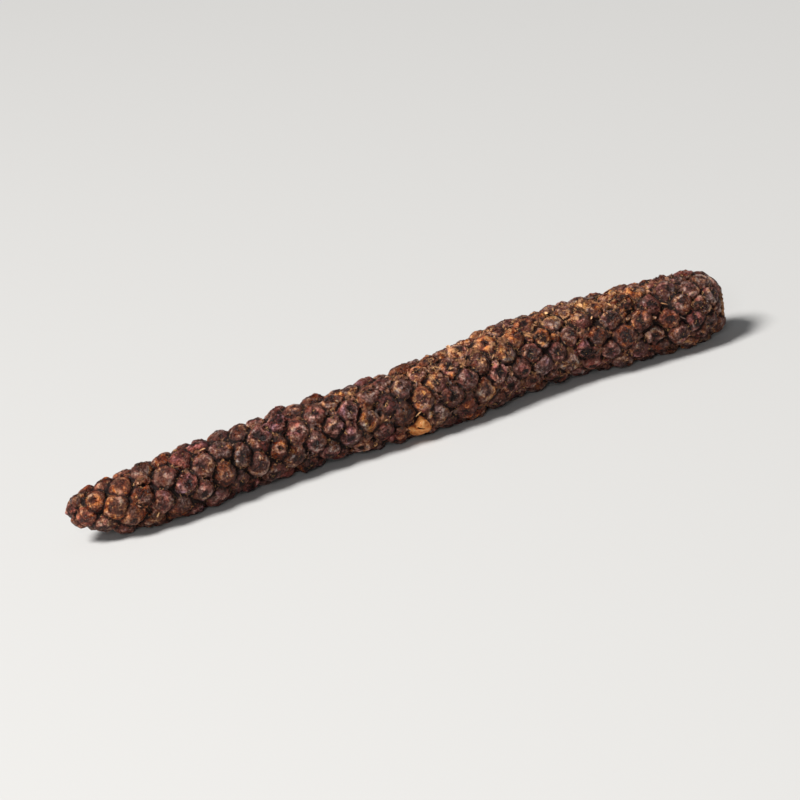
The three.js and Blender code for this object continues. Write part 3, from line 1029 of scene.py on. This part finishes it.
sv, sf, svr = [], [], []
count_v = 0
r2 = np.random.default_rng(SEED + 5)
gs_, gq_, ga_ = unbend(gap_at)
gap_chaff = chaff_at(gs_, ga_)
for i in range(M):
    for j in range(int(r2.choice([0, 1, 2, 3], p=[0.18, 0.42, 0.28, 0.12])) + int(round(2.6 * gap_chaff[i]))):
        t1 = gap_dir[i]
        n_ = gap_n[i]
        t2 = np.cross(n_, t1)
        out = n_ + t1 * r2.normal(0, 0.45) + t2 * r2.normal(0, 0.45)
        out /= np.linalg.norm(out)
        x = t1 - out * (t1 @ out)
        x /= np.linalg.norm(x)
        y = np.cross(out, x)
        spin = r2.normal(0, 0.8)
        x, y = x * math.cos(spin) + y * math.sin(spin), y * math.cos(spin) - x * math.sin(spin)
        c = gap_at[i] - n_ * (0.10 + 0.20 * r2.random()) + t1 * r2.normal(0, 0.20) + t2 * r2.normal(0, 0.12)
        if r2.random() < 0.30:      # a sliver
            rx_, ry_ = 0.14 + 0.18 * r2.random(), 0.03 + 0.03 * r2.random()
        else:
            rx_ = 0.08 + 0.13 * r2.random() ** 1.5
            ry_ = rx_ * (0.5 + 0.4 * r2.random())
        v, f = cupped_scale(rx_, ry_, 0.04, (0.25 + 0.35 * r2.random()) * ry_, r2)
        w = c + v[:, 0:1] * x + v[:, 1:2] * y + v[:, 2:3] * out
        w = settle(w)
        if w[:, 2].min() < TABLE + 0.02 or (w + SHIFT > BOX_HI + 0.05).any() or (w + SHIFT < BOX_LO - 0.05).any():
            continue
        sv.append(w)
        sf += [[q + count_v for q in face] for face in f]
        svr.append(np.full(len(w), min(1.0, r2.random() ** 1.4 + 0.35 * gap_chaff[i])))
        count_v += len(w)
scales = put_mesh("bract_scales", np.vstack(sv), sf)
a = scales.data.attributes.new("own", "FLOAT", "POINT")
a.data.foreach_set("value", np.concatenate(svr).astype(np.float32))
print("scales", len(sv))
scales.data.materials.append(scale_material())
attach(scales, "root")


# ------------------------------------------------------------------ table, light, camera
def make_table():
    fs = 2.5
    floor = bpy.data.meshes.new("table")
    floor.from_pydata([(-fs, -fs, 0), (fs, -fs, 0), (fs, fs, 0), (-fs, fs, 0)], [], [(0, 1, 2, 3)])
    table = bpy.data.objects.new("table", floor)
    bpy.context.scene.collection.objects.link(table)
    table.data.materials.append(plain("table_white", (0.52, 0.518, 0.513), 0.8))
    table.location.z = -0.00002
    return table


def softbox(name, loc, size, power, target=(0, 0, 0.0025), color=(1, 1, 1)):
    d = bpy.data.lights.new(name, "AREA")
    d.shape = "RECTANGLE"
    d.size, d.size_y = size
    d.energy = power
    d.color = color
    o = bpy.data.objects.new(name, d)
    o.location = loc
    v = Vector(target) - Vector(loc)
    o.rotation_euler = v.to_track_quat("-Z", "Y").to_euler()
    bpy.context.scene.collection.objects.link(o)
    return o


def make_light():
    scene = bpy.context.scene
    world = bpy.data.worlds.new("studio")
    scene.world = world
    world.use_nodes = True
    world.node_tree.nodes["Background"].inputs[0].default_value = (0.95, 0.97, 1.0, 1)
    world.node_tree.nodes["Background"].inputs[1].default_value = 0.13
    softbox("key", (-0.42, -0.04, 0.60), (0.26, 0.24), 9.1, color=(1.0, 0.985, 0.96))
    softbox("fill", (-0.40, -0.76, 0.40), (0.29, 0.22), 1.95)


def make_camera(box):
    # The camera looks at the spike from the front, a little from above and from
    # its tip's side, turned so that the spike rises to the right.
    scene = bpy.context.scene
    AZ, EL, SLOPE = math.radians(-20.6), math.radians(19.0), math.radians(18.8)
    lo_, hi_ = box
    target = Vector(((lo_[0] + hi_[0]) / 2, (lo_[1] + hi_[1]) / 2, (lo_[2] + hi_[2]) / 2))
    back = Vector((math.sin(AZ) * math.cos(EL), -math.cos(AZ) * math.cos(EL), math.sin(EL)))
    LENS, WIDTH_M = 260.0, 0.0535
    dist = WIDTH_M * LENS / 36.0
    cam_d = bpy.data.cameras.new("camera")
    cam_d.lens = LENS
    cam_d.sensor_width = 36.0
    cam_d.clip_start = 0.005
    cam_d.clip_end = 20.0
    cam = bpy.data.objects.new("camera", cam_d)
    right = Vector((math.cos(AZ), math.sin(AZ), 0.0))
    upv = back.cross(right)
    natural = math.atan2(upv.x, right.x)
    roll = SLOPE - natural          # picture turned anticlockwise by this much
    r3 = right * math.cos(roll) - upv * math.sin(roll)
    u3 = right * math.sin(roll) + upv * math.cos(roll)
    m = Matrix((r3, u3, back)).transposed().to_4x4()
    m.translation = target + back * dist
    cam.matrix_world = m
    scene.collection.objects.link(cam)
    scene.camera = cam
    scene.view_settings.view_transform = "Standard"
    scene.view_settings.look = "None"
    scene.view_settings.exposure = 0.0
    return cam


table = make_table()
make_light()
make_camera(CAD_BOX)
